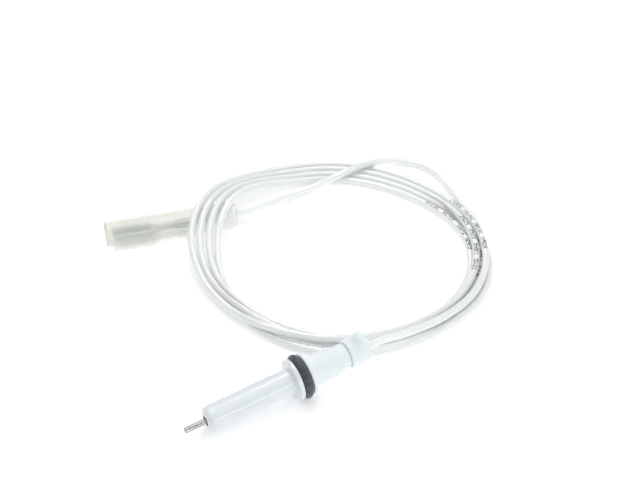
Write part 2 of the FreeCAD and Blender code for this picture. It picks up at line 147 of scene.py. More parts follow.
def on_terminal(local):
    """Points given along the terminal's axis from the sleeve's mouth carried to the frame."""
    return placed(TERM_START, TERM_X, TERM_Y, TERM_Z, local)


def in_sleeve(local):
    """Points given along the sleeve's axis from its mouth carried to the frame."""
    return placed(SLEEVE_START, TERM_X, TERM_Y, TERM_Z, local)


# ------------------------------------------------------------------ meshes from grids


def grid_quads(rows, cols, loop_rows=False):
    """Corner numbers of the quads of a grid: each joins a cell's four corners. The last column
    is joined to the first, and so is the last row where loop_rows is set."""
    row, col = np.meshgrid(np.arange(rows if loop_rows else rows - 1), np.arange(cols),
                           indexing="ij")
    next_row = (row + 1) % rows
    next_col = (col + 1) % cols
    corners = [row * cols + col, row * cols + next_col,
               next_row * cols + next_col, next_row * cols + col]
    return np.stack(corners, -1).reshape(-1, 4)


def mesh_piece(name, points, faces, material):
    """A smooth-shaded object at the origin from points in mm and lists of corner numbers."""
    mesh = bpy.data.meshes.new(name)
    mesh.from_pydata((points.reshape(-1, 3) * MM).tolist(), [], faces)
    mesh.materials.append(material)
    mesh.shade_smooth()
    piece = bpy.data.objects.new(name, mesh)
    bpy.context.scene.collection.objects.link(piece)
    return piece


def cleaned(piece, sharp_deg=None):
    """Merge doubled points, turn the faces outwards and mark edges sharper than an angle."""
    work = bmesh.new()
    work.from_mesh(piece.data)
    bmesh.ops.remove_doubles(work, verts=work.verts, dist=MERGE_DISTANCE)
    bmesh.ops.dissolve_degenerate(work, edges=work.edges, dist=SLIVER_LENGTH)
    bmesh.ops.recalc_face_normals(work, faces=work.faces)
    work.to_mesh(piece.data)
    work.free()
    if sharp_deg:
        piece.data.set_sharp_from_angle(angle=math.radians(sharp_deg))
    return piece


def shell(name, grid, material, loop_rows=True, sharp_deg=None):
    """A closed piece from a grid of points (rows, columns, 3)."""
    rows, cols = grid.shape[:2]
    quads = grid_quads(rows, cols, loop_rows)
    return cleaned(mesh_piece(name, grid, quads.tolist(), material), sharp_deg)


def joined(name, pieces):
    """One object from several, without moving any."""
    bpy.ops.object.select_all(action="DESELECT")
    for piece in pieces:
        piece.select_set(True)
    bpy.context.view_layer.objects.active = pieces[0]
    bpy.ops.object.join()
    pieces[0].name = name
    pieces[0].data.name = name
    return pieces[0]


def outline(corners, steps=7, support=0.12):
    """Points of a closed profile. Each corner is (along, out, rounding); a rounded corner becomes
    the arc that touches both its sides, with a supporting point just before and after it."""
    corners = [np.array(c, float) for c in corners]
    line = []
    for i, corner in enumerate(corners):
        here, rounding = corner[:2], corner[2]
        if rounding == 0:
            line.append(here[None])
            continue
        into = here - corners[i - 1][:2]
        away = corners[(i + 1) % len(corners)][:2] - here
        into = into / np.hypot(*into)
        away = away / np.hypot(*away)
        side = np.sign(into[0] * away[1] - into[1] * away[0])
        turn = math.acos(np.clip(into @ away, -1, 1))
        reach = rounding * math.tan(turn / 2)
        start = here - into * reach
        to_centre = side * rounding * np.array([-into[1], into[0]])
        angle = side * turn * np.linspace(0, 1, steps)[:, None]
        ahead = np.array([to_centre[1], -to_centre[0]])
        swung = -to_centre * np.cos(angle) + ahead * np.sin(angle)
        line.append((start - into * support)[None])
        line.append(start + to_centre + swung)
        line.append((here + away * (reach + support))[None])
    return np.concatenate(line)


def turned_grid(line, segments=96, swell=None):
    """Grid of a profile (along, out) turned about the probe's axis: out times the cosine and sine
    of the turn; swell(along, out, angle) adds to the radius."""
    angle = np.linspace(0, TURN, segments, endpoint=False)
    along = np.repeat(line[:, :1], segments, axis=1)
    out = np.repeat(line[:, 1:2], segments, axis=1)
    if swell is not None:
        out = out + swell(along, out, angle[None])
    return on_probe(np.stack([along, out * np.cos(angle), out * np.sin(angle)], -1))


def turned(name, corners, material, segments=96, swell=None, steps=7):
    """A piece turned about the probe's axis from a closed outline."""
    return shell(name, turned_grid(outline(corners, steps), segments, swell), material)


# ------------------------------------------------------------------ materials


class Finish:
    """A node material with a few helpers, on the object's own coordinates in mm."""

    def __init__(self, name, colour, roughness, metallic=0.0, along=None):
        self.material = bpy.data.materials.new(name)
        self.material.use_nodes = True
        self.tree = self.material.node_tree
        self.shader = self.tree.nodes["Principled BSDF"]
        self.set("Base Color", (*colour, 1.0))
        self.set("Roughness", roughness)
        self.set("Metallic", metallic)
        place = self.tree.nodes.new("ShaderNodeTexCoord")
        self.mapping = self.tree.nodes.new("ShaderNodeMapping")
        self.mapping.inputs["Scale"].default_value = (1 / MM, 1 / MM, 1 / MM)
        if along is not None:
            self.mapping.inputs["Rotation"].default_value = along
        self.tree.links.new(place.outputs["Object"], self.mapping.inputs["Vector"])
        self.place = self.mapping.outputs["Vector"]

    def set(self, socket, value):
        """Set a constant on the shader's own socket."""
        self.shader.inputs[socket].default_value = value

    def node(self, kind, **inputs):
        """A node whose named inputs are set to values or linked to sockets."""
        node = self.tree.nodes.new("ShaderNode" + kind)
        for name, value in inputs.items():
            socket = node.inputs[name.replace("_", " ")]
            if isinstance(value, bpy.types.NodeSocket):
                self.tree.links.new(value, socket)
            else:
                socket.default_value = value
        return node

    def noise(self, scale, detail=3.0, rough=0.5, stretch=None):
        """Noise with features of about 1/scale mm, stretched by factors along x, y and z."""
        source = self.place
        if stretch is not None:
            source = self.node("Mapping", Vector=source, Scale=stretch).outputs["Vector"]
        return self.node("TexNoise", Vector=source, Scale=scale, Detail=detail,
                         Roughness=rough).outputs["Fac"]

    def ramp(self, value, low, high, to_low=0.0, to_high=1.0):
        """Value between low and high carried to another range, clamped."""
        node = self.node("MapRange", Value=value)
        for name, number in (("From Min", low), ("From Max", high),
                             ("To Min", to_low), ("To Max", to_high)):
            node.inputs[name].default_value = number
        return node.outputs["Result"]

    def mixed(self, factor, first, second):
        """Colour between two, each a value or a socket."""
        node = self.tree.nodes.new("ShaderNodeMix")
        node.data_type = "RGBA"
        ends = [s for s in node.inputs if s.type == "RGBA"]
        for socket, colour in zip(ends, (first, second)):
            if isinstance(colour, bpy.types.NodeSocket):
                self.tree.links.new(colour, socket)
            else:
                socket.default_value = (*colour, 1.0)
        self.tree.links.new(factor, node.inputs["Factor"])
        return next(s for s in node.outputs if s.type == "RGBA")

    def math(self, operation, first, second=None):
        """One arithmetic step on two values."""
        node = self.tree.nodes.new("ShaderNodeMath")
        node.operation = operation
        for socket, value in zip(node.inputs, (first, second)):
            if isinstance(value, bpy.types.NodeSocket):
                self.tree.links.new(value, socket)
            elif value is not None:
                socket.default_value = value
        return node.outputs[0]

    def colour_from(self, socket):
        """Let a socket give the base colour."""
        self.tree.links.new(socket, self.shader.inputs["Base Color"])

    def roughness_from(self, socket):
        """Let a socket give the roughness."""
        self.tree.links.new(socket, self.shader.inputs["Roughness"])

    def bumped(self, *layers):
        """Relief from layers of (height socket, depth in mm), stacked."""
        normal = None
        for height, depth in layers:
            node = self.node("Bump", Height=height, Distance=depth * MM)
            if normal is not None:
                self.tree.links.new(normal, node.inputs["Normal"])
            normal = node.outputs["Normal"]
        self.tree.links.new(normal, self.shader.inputs["Normal"])
        return self.material


PROBE_PITCH = math.asin(PROBE_X[2])
ALONG_PROBE = (0.0, PROBE_PITCH, 0.0)
ALONG_TERMINAL = (0.0, 0.0, -math.atan2(TERM_X[1], TERM_X[0]))


def rod_steel():
    """Drawn heat-resistant steel: fine streaks along the rod and a few darker heat tones."""
    finish = Finish("drawn_rod_steel", (0.52, 0.48, 0.44), 0.3, metallic=1.0, along=ALONG_PROBE)
    streaks = finish.noise(3.0, 5.0, 0.6, stretch=(0.06, 2.2, 2.2))
    tone = finish.noise(0.35, 2.0)
    warm = finish.mixed(finish.ramp(tone, 0.35, 0.65), (0.47, 0.455, 0.44), (0.35, 0.32, 0.30))
    finish.colour_from(finish.mixed(finish.ramp(streaks, 0.35, 0.7), warm, (0.60, 0.59, 0.57)))
    finish.roughness_from(finish.ramp(streaks, 0.3, 0.7, 0.16, 0.3))
    return finish.bumped((streaks, 0.02))


def glazed_ceramic():
    """Glossy white glaze: a slow ripple, faint orange peel, and tiny pinholes."""
    finish = Finish("white_glaze", (0.80, 0.83, 0.87), 0.13, along=ALONG_PROBE)
    finish.set("IOR", 1.52)
    finish.set("Coat Weight", 0.4)
    finish.set("Coat Roughness", 0.12)
    finish.set("Subsurface Weight", 0.12)
    finish.set("Subsurface Radius", (0.6 * MM, 0.6 * MM, 0.7 * MM))
    finish.set("Subsurface Scale", 1.0)
    ripple = finish.noise(0.22, 1.0)
    peel = finish.noise(1.6, 2.0)
    pits = finish.node("TexVoronoi", Vector=finish.place, Scale=0.55).outputs["Distance"]
    pit = finish.ramp(pits, 0.0, 0.035, 1.0, 0.0)
    cloud = finish.mixed(finish.ramp(ripple, 0.3, 0.7), (0.74, 0.795, 0.82), (0.785, 0.84, 0.86))
    finish.colour_from(finish.mixed(finish.math("MULTIPLY", pit, 0.35), cloud, (0.5, 0.5, 0.5)))
    finish.roughness_from(finish.ramp(peel, 0.3, 0.7, 0.15, 0.22))
    return finish.bumped((ripple, 0.10), (peel, 0.012), (finish.math("MULTIPLY", pit, -1.0), 0.03))


def cement():
    """Refractory cement in dark grey, painted dark as painted shade of the recess round the rod:
    grainy, with small voids painted near black as painted shade.
    """
    finish = Finish("cement_with_painted_shade", (0.24, 0.23, 0.22), 0.85, along=ALONG_PROBE)
    grain = finish.noise(5.0, 6.0, 0.7)
    voids = finish.node("TexVoronoi", Vector=finish.place, Scale=2.4).outputs["Distance"]
    dark = finish.ramp(voids, 0.05, 0.3)
    # painted shade: the cement's dark tones stand in for the shade in the recess, and the voids are
    # painted near black as the shade inside them
    shade = finish.mixed(finish.ramp(grain, 0.3, 0.7), (0.045, 0.043, 0.042), (0.12, 0.115, 0.11))
    finish.colour_from(finish.mixed(dark, (0.03, 0.03, 0.03), shade))
    return finish.bumped((grain, 0.12), (dark, 0.06))


def bisque(name, light, dark, grain_scale):
    """Unglazed white ceramic: bluish-white, matte, with fine grain and faint turning marks."""
    finish = Finish(name, light, 0.55, along=ALONG_PROBE)
    finish.set("Subsurface Weight", 0.10)
    finish.set("Subsurface Radius", (0.5 * MM, 0.5 * MM, 0.6 * MM))
    finish.set("Subsurface Scale", 1.0)
    grain = finish.noise(grain_scale, 4.0, 0.65)
    cloud = finish.noise(0.3, 2.0)
    marks = finish.noise(2.6, 2.0, stretch=(1.6, 0.04, 0.04))
    specks = finish.node("TexVoronoi", Vector=finish.place, Scale=0.9).outputs["Distance"]
    speck = finish.math("MULTIPLY", finish.ramp(specks, 0.02, 0.06, 1.0, 0.0), 0.25)
    tone = finish.mixed(finish.ramp(cloud, 0.3, 0.7), light, dark)
    finish.colour_from(finish.mixed(speck, tone, (0.45, 0.43, 0.40)))
    finish.roughness_from(finish.ramp(grain, 0.25, 0.75, 0.46, 0.64))
    return finish.bumped((grain, 0.02), (marks, 0.02))


def silicone(name, light, dark, gloss):
    """Satin silicone rubber: soft light inside, a slow unevenness and a fine skin."""
    finish = Finish(name, light, gloss, along=ALONG_PROBE)
    finish.set("IOR", 1.41)
    finish.set("Subsurface Weight", 0.3)
    finish.set("Subsurface Radius", (1.0 * MM, 1.0 * MM, 1.1 * MM))
    finish.set("Subsurface Scale", 1.0)
    skin = finish.noise(6.0, 3.0)
    sag = finish.noise(0.4, 2.0)
    finish.colour_from(finish.mixed(finish.ramp(sag, 0.3, 0.7), light, dark))
    finish.roughness_from(finish.ramp(skin, 0.3, 0.7, gloss - 0.06, gloss + 0.08))
    return finish.bumped((sag, 0.06), (skin, 0.008))


def seal_rubber():
    """Slate-grey rubber: satin, with a dusting of pale bloom and a fine skin."""
    finish = Finish("slate_rubber", (0.045, 0.055, 0.065), 0.42, along=ALONG_PROBE)
    finish.set("Sheen Weight", 0.15)
    finish.set("Sheen Roughness", 0.5)
    bloom = finish.noise(0.8, 4.0, 0.6)
    skin = finish.noise(7.0, 4.0, 0.6)
    dust = finish.mixed(finish.ramp(bloom, 0.45, 0.75), (0.036, 0.046, 0.056),
                        (0.085, 0.098, 0.110))
    finish.colour_from(dust)
    finish.roughness_from(finish.ramp(skin, 0.3, 0.7, 0.34, 0.52))
    return finish.bumped((skin, 0.014), (bloom, 0.03))


def plated(name, colour, along, stretch):
    """Plated sheet metal: drawn streaks, small dull patches."""
    finish = Finish(name, colour, 0.35, metallic=1.0, along=along)
    streaks = finish.noise(2.4, 4.0, 0.6, stretch=stretch)
    patches = finish.noise(0.6, 3.0)
    dull = tuple(0.72 * c for c in colour)
    finish.colour_from(finish.mixed(finish.ramp(patches, 0.4, 0.7), colour, dull))
    finish.roughness_from(finish.ramp(streaks, 0.3, 0.7, 0.26, 0.46))
    return finish.bumped((streaks, 0.02))


def sleeve_clear():
    """Translucent tube: a warm cream with painted light that pales it towards its rear, slightly
    frosted, with faint extrusion lines. Each wall lets 60 % of the light through."""
    finish = Finish("frosted_sleeve", (0.78, 0.80, 0.74), 0.28, along=ALONG_TERMINAL)
    finish.set("IOR", 1.42)
    finish.set("Alpha", 0.40)
    lines = finish.noise(1.4, 3.0, stretch=(0.03, 1.6, 1.6))
    haze = finish.noise(0.22, 2.0)
    cream = finish.mixed(finish.ramp(haze, 0.35, 0.65), (0.77, 0.805, 0.745),
                         (0.83, 0.825, 0.755))
    # painted light: the tube's rear, past the terminal inside, is painted paler
    along = finish.node("SeparateXYZ", Vector=finish.place).outputs["X"]
    mouth = float(SLEEVE_START @ TERM_X)
    painted_light_rear = finish.ramp(along, mouth + 0.55 * SLEEVE_LENGTH, mouth + 0.8 * SLEEVE_LENGTH)
    finish.colour_from(finish.mixed(painted_light_rear, cream, (0.93, 0.94, 0.925)))
    finish.roughness_from(finish.ramp(lines, 0.3, 0.7, 0.24, 0.36))
    return finish.bumped((lines, 0.03))


# the print, in mm along the lead and in shares of a turn round it
PRINT_PERIOD = 335.5
PRINT_START = 88.0
PRINT_LENGTH = 40.0
PRINT_CELL = 0.42
PRINT_HEIGHT = 0.20
PRINT_LINES = 34.0
PRINT_GROUP = 9.5
PRINT_GAP = 2.4
PRINT_BARE = 0.45
PRINT_ROLL_FROM, PRINT_ROLL_TO = 1150.0, 1400.0
PRINT_UP, PRINT_DOWN = 0.25, 0.75


def lead_jacket():
    """Milky translucent silicone with a run of small grey dashes that repeats along the lead.
    The piece's UV map gives the length along the lead in mm and the share of a turn round it."""
    finish = Finish("milky_lead", (0.87, 0.91, 0.905), 0.22)
    finish.set("IOR", 1.41)
    finish.set("Coat Weight", 1.0)
    finish.set("Coat Roughness", 0.1)
    finish.set("Transmission Weight", 0.12)
    finish.set("Subsurface Weight", 0.85)
    finish.set("Subsurface Radius", (3.0 * MM, 3.2 * MM, 3.1 * MM))
    finish.set("Subsurface Scale", 1.0)
    strip = finish.node("UVMap")
    strip.uv_map = "lead"
    parts = finish.node("SeparateXYZ", Vector=strip.outputs["UV"])
    along, around = parts.outputs["X"], parts.outputs["Y"]
    # cells of the print: white noise decides which are inked, within a band on top of the lead
    column = finish.math("FLOOR", finish.math("DIVIDE", along, PRINT_CELL))
    line = finish.math("FLOOR", finish.math("MULTIPLY", around, PRINT_LINES))
    cell = finish.node("CombineXYZ", X=column, Y=line)
    ink = finish.node("TexWhiteNoise", Vector=cell.outputs["Vector"]).outputs["Value"]
    inked = finish.math("GREATER_THAN", ink, PRINT_BARE)
    shifted = finish.math("SUBTRACT", along, PRINT_START)
    spot = finish.math("FLOORED_MODULO", shifted, PRINT_PERIOD)
    in_run = finish.math("LESS_THAN", spot, PRINT_LENGTH)
    in_group = finish.math("FLOORED_MODULO", spot, PRINT_GROUP)
    off_gap = finish.math("GREATER_THAN", in_group, PRINT_GAP)
    # the print faces up along the coil and rolls under towards the terminal
    facing = finish.ramp(along, PRINT_ROLL_FROM, PRINT_ROLL_TO, PRINT_UP, PRINT_DOWN)
    off_top = finish.math("ABSOLUTE", finish.math("SUBTRACT", around, facing))
    in_band = finish.math("LESS_THAN", off_top, PRINT_HEIGHT / 2)
    mask = finish.math("MULTIPLY", finish.math("MULTIPLY", inked, in_run),
                       finish.math("MULTIPLY", in_band, off_gap))
    tone = finish.noise(0.10, 2.0)
    milk = finish.mixed(finish.ramp(tone, 0.3, 0.7), (0.86, 0.905, 0.895), (0.895, 0.93, 0.92))
    finish.colour_from(finish.mixed(finish.math("MULTIPLY", mask, 0.9), milk,
                                    (0.07, 0.08, 0.09)))
    finish.roughness_from(finish.ramp(tone, 0.3, 0.7, 0.14, 0.20))
    return finish.bumped((tone, 0.06))


STEEL = rod_steel()
GLAZE = glazed_ceramic()
CEMENT_PAINTED_SHADE = cement()
HOUSING = bisque("housing_bisque", (0.82, 0.875, 0.89), (0.79, 0.85, 0.87), 7.0)
BUSH = bisque("bush_bisque", (0.81, 0.87, 0.885), (0.78, 0.845, 0.865), 5.0)
BOOT = silicone("boot_silicone", (0.81, 0.87, 0.885), (0.785, 0.85, 0.87), 0.42)
GROMMET = silicone("grommet_silicone", (0.85, 0.90, 0.905), (0.83, 0.88, 0.89), 0.36)
SEAL = seal_rubber()
PLATED = plated("plated_crimp", (0.60, 0.59, 0.57), ALONG_PROBE, (0.1, 2.0, 2.0))
TERMINAL = plated("tinned_brass", (0.38, 0.45, 0.44), ALONG_TERMINAL, (0.15, 2.0, 2.0))
TINNED = plated("tinned_strands", (0.66, 0.64, 0.60), ALONG_TERMINAL, (0.2, 2.5, 2.5))
SLEEVE = sleeve_clear()
LEAD = lead_jacket()

# ------------------------------------------------------------------ probe pieces


def make_rod():
    """Steel rod: a turned profile whose tip is a small round edge, slightly dressed off true."""
    half = ROD_DIA / 2
    rear = SEAL_REAR + SPIGOT_REACH + ROD_TAIL
    corners = [(-ROD_EXPOSED, 0, 0), (-ROD_EXPOSED, half, ROD_ROUND), (-1.5, half, 0),
               (RECESS_DEPTH + 1, half, 0), (rear, half, 0.2), (rear, 0, 0)]

    def dressing(along, out, angle):
        """Flats in mm that fade from the tip within a mm."""
        return -0.03 * np.exp(-(along + ROD_EXPOSED)) * (1 + np.cos(2 * angle)) * (out > 0.2)
    return turned("electrode_rod_steel", corners, STEEL, 64, dressing)


def make_insulator():
    """Glazed nose: a turned profile with a rounded front, a recess for the rod, a flange and a
    spigot. The glaze swells a little towards the flange and is a touch out of round."""
    half = NOSE_DIA / 2
    bore = ROD_DIA / 2 + 0.05
    corners = [(0, RECESS_DIA / 2, 0.2), (0, half, NOSE_ROUND), (12, half, 0), (22, half, 0),
               (NOSE_LENGTH, half, NOSE_FILLET), (NOSE_LENGTH, FLANGE_DIA / 2, 0.55),
               (FLANGE_REAR, FLANGE_DIA / 2, 0.45), (FLANGE_REAR, SPIGOT_DIA / 2, 0.2),
               (SEAL_REAR + SPIGOT_REACH, SPIGOT_DIA / 2, 0.3),
               (SEAL_REAR + SPIGOT_REACH, bore, 0), (RECESS_DEPTH, bore, 0),
               (RECESS_DEPTH, RECESS_DIA / 2, 0.2)]

    def glaze(along, out, angle):
        """Swell in mm of the outside: a slow wave along the nose and an oval wave round it."""
        wave = 0.030 * np.sin(along * 0.31 + 0.6) + 0.018 * np.cos(2 * angle + along * 0.05)
        return wave * np.clip(out - 2.5, 0, 1) * (along < FLANGE_REAR)
    return turned("ceramic_insulator_glazed", corners, GLAZE, 144, glaze, steps=12)


def make_cement():
    """Cement round the rod, set back in its recess: its face climbs the rod and the recess's
    wall by fourth powers of the share across, and is lumpy by summed waves."""
    inner, outer = ROD_DIA / 2, RECESS_DIA / 2
    angle = np.linspace(0, TURN, 72, endpoint=False)
    share = np.linspace(0, 1, 9)[:, None]
    lumps = 0.06 * np.sin(5 * angle + 7 * share) + 0.04 * np.sin(11 * angle - 9 * share)
    face = 0.95 - 0.8 * share ** 4 - 0.4 * (1 - share) ** 4 + lumps * (1 - share)
    out = inner + (outer - inner) * share + 0 * angle
    front = np.stack([face + 0 * angle, out, 0 * out], -1)
    back = np.stack([np.full_like(out, RECESS_DEPTH), out, 0 * out], -1)[::-1]
    ring = np.concatenate([front, back])
    along, out = ring[..., 0], ring[..., 1]
    grid = on_probe(np.stack([along, out * np.cos(angle), out * np.sin(angle)], -1))
    return shell("rod_cement_bead", grid, CEMENT_PAINTED_SHADE)


def make_seal():
    """Seal ring: a circle of section carried round the spigot, squeezed slightly between the
    flanges, with a low parting line round its outside."""
    section = np.linspace(0, TURN, 48, endpoint=False)[:, None]
    angle = np.linspace(0, TURN, 144, endpoint=False)
    radius = SEAL_SECTION / 2
    parting = 0.02 * np.exp(-(np.sin(section) ** 2) / 0.002) * (np.cos(section) > 0)
    away = radius + parting
    along = SEAL_MID + 0.985 * away * np.sin(section) + 0 * angle
    ripple = 0.012 * np.sin(9 * angle) * np.cos(section)
    out = SPIGOT_DIA / 2 + radius + away * np.cos(section) + ripple
    grid = on_probe(np.stack([along, out * np.cos(angle), out * np.sin(angle)], -1))
    return shell("seal_ring_rubber", grid, SEAL)


def make_housing():
    """Rear housing: a flange, a barrel with a shallow waist behind it, and an open cavity."""
    socket = SPIGOT_DIA / 2 + 0.05
    half = HOUSING_DIA / 2
    cavity = CAVITY_DIA / 2
    corners = [(SEAL_REAR, socket, 0), (SEAL_REAR, REAR_FLANGE_DIA / 2, 0.5),
               (REAR_FLANGE_REAR, REAR_FLANGE_DIA / 2, 0.6),
               (REAR_FLANGE_REAR, half - 0.05, 0.8), (REAR_FLANGE_REAR + 2.6, half - 0.05, 0.6),
               (REAR_FLANGE_REAR + 3.0, half, 0.6), (HOUSING_REAR, half, 0.8),
               (HOUSING_REAR, cavity, 0.1), (SEAL_REAR + SPIGOT_REACH, cavity, 0),
               (SEAL_REAR + SPIGOT_REACH, socket, 0)]
    return turned("rear_housing_body", corners, HOUSING, 128)


def make_bush():
    """Neck bush: a collar between housing and boot, slightly tapered, with a spigot in front."""
    cavity = CAVITY_DIA / 2
    corners = [(HOUSING_REAR - BUSH_SPIGOT, BUSH_BORE / 2, 0),
               (HOUSING_REAR - BUSH_SPIGOT, cavity - 0.03, 0.2),
               (HOUSING_REAR + 0.02, cavity - 0.03, 0), (HOUSING_REAR + 0.02, BUSH_DIA / 2, 0.25),
               (BUSH_REAR - 0.9, BUSH_DIA / 2 - 0.08, 0.3),
               (BUSH_REAR - 0.5, BUSH_DIA / 2 - 0.5, 0.2),
               (BUSH_REAR - 0.02, BUSH_DIA / 2 - 0.5, 0), (BUSH_REAR - 0.02, BUSH_BORE / 2, 0)]
    return turned("neck_bush_collar", corners, BUSH, 112)


NUB_HEIGHT = 1.7
NUB_AT = 5.5
NUB_LENGTH = 2.6
NUB_WIDTH = 0.62


def make_boot():
    """Boot: a soft barrel with a moulded nub on top. The nub adds a bell of height times the
    fading of distance along and round, and fades inwards to nothing at the stem's bore."""
    half = BOOT_DIA / 2
    pocket = BOOT_REAR - GROMMET_IN
    lead = LEAD_DIA / 2 + 0.02
    stem = STEM_DIA / 2 + 0.02
    barrel = [(BUSH_REAR + along, half, 0) for along in np.arange(2.0, BOOT_LENGTH - 1.05, 0.12)]
    corners = ([(BUSH_REAR, lead, 0), (BUSH_REAR, half - 0.15, 0.45)] + barrel
               + [(BOOT_REAR, half, 0.9), (BOOT_REAR, stem, 0.3), (pocket, stem, 0),
                  (pocket, lead, 0)])

    def nub(along, out, angle):
        """Bell in mm centred on top, towards the rear."""
        far = ((along - BUSH_REAR - NUB_AT) / NUB_LENGTH) ** 2
        round_top = (np.angle(np.exp(1j * (angle - TURN / 4))) / NUB_WIDTH) ** 2
        share = np.clip((out - stem - 0.4) / (half - stem - 0.4), 0, 1)
        return NUB_HEIGHT * share * np.exp(-(far + round_top) ** 1.3)
    return turned("rear_boot_silicone", corners, BOOT, 160, nub, steps=14)


def make_grommet():
    """Exit grommet: a stem in the boot and a soft rim round the lead."""
    lead = LEAD_DIA / 2 + 0.01
    stem = STEM_DIA / 2
    corners = [(BOOT_REAR - GROMMET_IN, lead, 0), (BOOT_REAR - GROMMET_IN, stem, 0.1),
               (BOOT_REAR + 0.02, stem, 0), (BOOT_REAR + 0.02, GROMMET_DIA / 2, 0.35),
               (EXIT, GROMMET_DIA / 2 - 0.5, 0.5), (EXIT + 0.1, lead, 0.15)]
    return turned("exit_grommet_rim", corners, GROMMET, 80)


# ------------------------------------------------------------------ spade terminal and sleeve

TAB_PLAY = 0.15
HALF_BOX = TAB_WIDTH / 2 + TAB_PLAY + SHEET
FLOOR_UP = -FLOOR_DROP + SHEET / 2 + 0.05
CURL = 1.12
CURL_TURN = 0.62
CORE_BARREL = 0.98
HOLD_BARREL = 1.66
BARREL_FLOOR = -1.0
NECK_HALF = 1.1


def folded_sheet(name, middle_line, stations, material, thick=SHEET):
    """A folded sheet: middle_line(share, station) gives (across, up) of the sheet's middle for a
    share from -1 to 1 of its width, as whole arrays; half the thickness is added each way along
    the line's normal, and the two faces are joined at their rims."""
    share = np.linspace(-1, 1, 73)
    along, across = np.meshgrid(stations, share, indexing="ij")
    line = middle_line(across, along)
    slope = np.gradient(line, axis=1)
    slope = slope / np.linalg.norm(slope, axis=-1, keepdims=True)
    normal = np.stack([-slope[..., 1], slope[..., 0]], -1) * thick / 2
    upper = np.concatenate([along[..., None], line + normal], -1)
    lower = np.concatenate([along[..., None], line - normal], -1)[:, ::-1]
    band = np.concatenate([upper, lower], axis=1)
    # the end rows close on the sheet's own middle
    middle = np.concatenate([along[..., None], line], -1)
    core = np.concatenate([middle, middle[:, ::-1]], axis=1)
    grid = np.concatenate([core[:1], band, core[-1:]])
    return shell(name, on_terminal(grid), material, loop_rows=False, sharp_deg=50)


def curled_line(share, along):
    """Receptacle in section: a flat floor, and each side curled over by CURL_TURN of a turn
    towards the middle. The mouth's lips open a little at the front."""
    flat = HALF_BOX - CURL
    curl_length = CURL * TURN * CURL_TURN
    total = flat + curl_length
    run = np.abs(share) * total
    bend = np.clip(run - flat, 0, None) / CURL
    flare = 0.25 * np.exp(-(along - TERMINAL_INSET) / 0.8)
    across = np.where(run < flat, run, flat + (CURL + flare) * np.sin(bend))
    up = np.where(run < flat, 0, (CURL + flare) * (1 - np.cos(bend)))
    dimple = 0.22 * np.exp(-((along - TERMINAL_INSET - 8) / 0.9) ** 2 - (share * total / 0.9) ** 2)
    return np.stack([np.sign(share) * across, up + dimple + FLOOR_UP], -1)


def barrel_line(radius, overlap, drop):
    """Crimp barrel in section: both wings roll round and press into the middle, so the section
    is a heart whose top dips by drop."""
    def line(share, along):
        angle = share * math.pi * overlap
        up = -radius * np.cos(angle)
        across = radius * np.sin(angle)
        dip = drop * np.exp(-(across / (0.45 * radius)) ** 2) * (up > 0)
        return np.stack([across, up - dip], -1)
    return line


def neck_line(share, along):
    """Neck in section: a shallow trough that narrows from the box to the crimp."""
    part = np.clip((along - TERMINAL_INSET - RECEPTACLE) / NECK, 0, 1)
    ease = part * part * (3 - 2 * part)
    half = (HALF_BOX - 0.3) * (1 - ease) + NECK_HALF * ease
    across = share * half
    side = 0.9 * np.abs(share) ** 4 * (1 - 0.3 * ease)
    return np.stack([across, side + FLOOR_UP * (1 - ease) - CORE_BARREL * ease], -1)


def bridge_line(share, along):
    """Bridge between the crimps in section: a narrow trough by the square of the share across,
    whose floor steps down from the core crimp's to the hold crimp's over the notch."""
    rear = TERMINAL_INSET + RECEPTACLE + NECK + CORE_CRIMP
    part = np.clip((along - rear) / NOTCH, 0, 1)
    return np.stack([share * 0.7, 0.25 * share ** 2 + BARREL_FLOOR - 0.65 * part], -1)


def make_terminal():
    """Female spade terminal from folded sheet: receptacle, neck, core crimp and hold crimp."""
    neck_at = TERMINAL_INSET + RECEPTACLE
    core_at = neck_at + NECK
    hold_at = core_at + CORE_CRIMP + NOTCH
    parts = [
        folded_sheet("receptacle", curled_line, np.linspace(TERMINAL_INSET, neck_at, 60), TERMINAL),
        folded_sheet("neck", neck_line, np.linspace(neck_at - 0.3, core_at + 0.4, 24), TERMINAL),
        folded_sheet("core_crimp", barrel_line(CORE_BARREL, 0.93, 0.45),
                     np.linspace(core_at, core_at + CORE_CRIMP, 22), TERMINAL),
        folded_sheet("crimp_bridge", bridge_line,
                     np.linspace(core_at + CORE_CRIMP - 0.3, hold_at + 0.3, 12), TERMINAL),
        folded_sheet("hold_crimp", barrel_line(HOLD_BARREL, 0.90, 0.35),
                     np.linspace(hold_at, hold_at + HOLD_CRIMP, 22), TERMINAL),
    ]
    return joined("spade_terminal_tinned", parts)


STRANDS = 7
STRAND_LAY = 9.0


def make_core():
    """Bare core: seven strands, one in the middle and six laid round it in a helix whose turn
    grows with the length along by one turn in each lay."""
    start = TERMINAL_INSET + RECEPTACLE + NECK - 0.6
    along = np.linspace(start, start + CORE_CRIMP + 1.6, 40)[:, None]
    section = np.linspace(0, TURN, 14, endpoint=False)
    strand = CORE_DIA / 6
    pieces = []
    for number in range(STRANDS):
        lay = TURN * (number / (STRANDS - 1) + along / STRAND_LAY)
        away = 0.0 if number == STRANDS - 1 else 2 * strand
        taper = np.ones_like(along)
        taper[[0, -1]] = 0.0
        across = away * np.cos(lay) + strand * taper * np.cos(section)
        up = away * np.sin(lay) + strand * taper * np.sin(section)
        grid = on_terminal(np.stack([along + 0 * section, across, up], -1))
        pieces.append(shell("strand_%d" % number, grid, TINNED, loop_rows=False))
    return joined("front_core_strands", pieces)


SLEEVE_SPREAD = 0.1
CUT_ROUND = 0.25


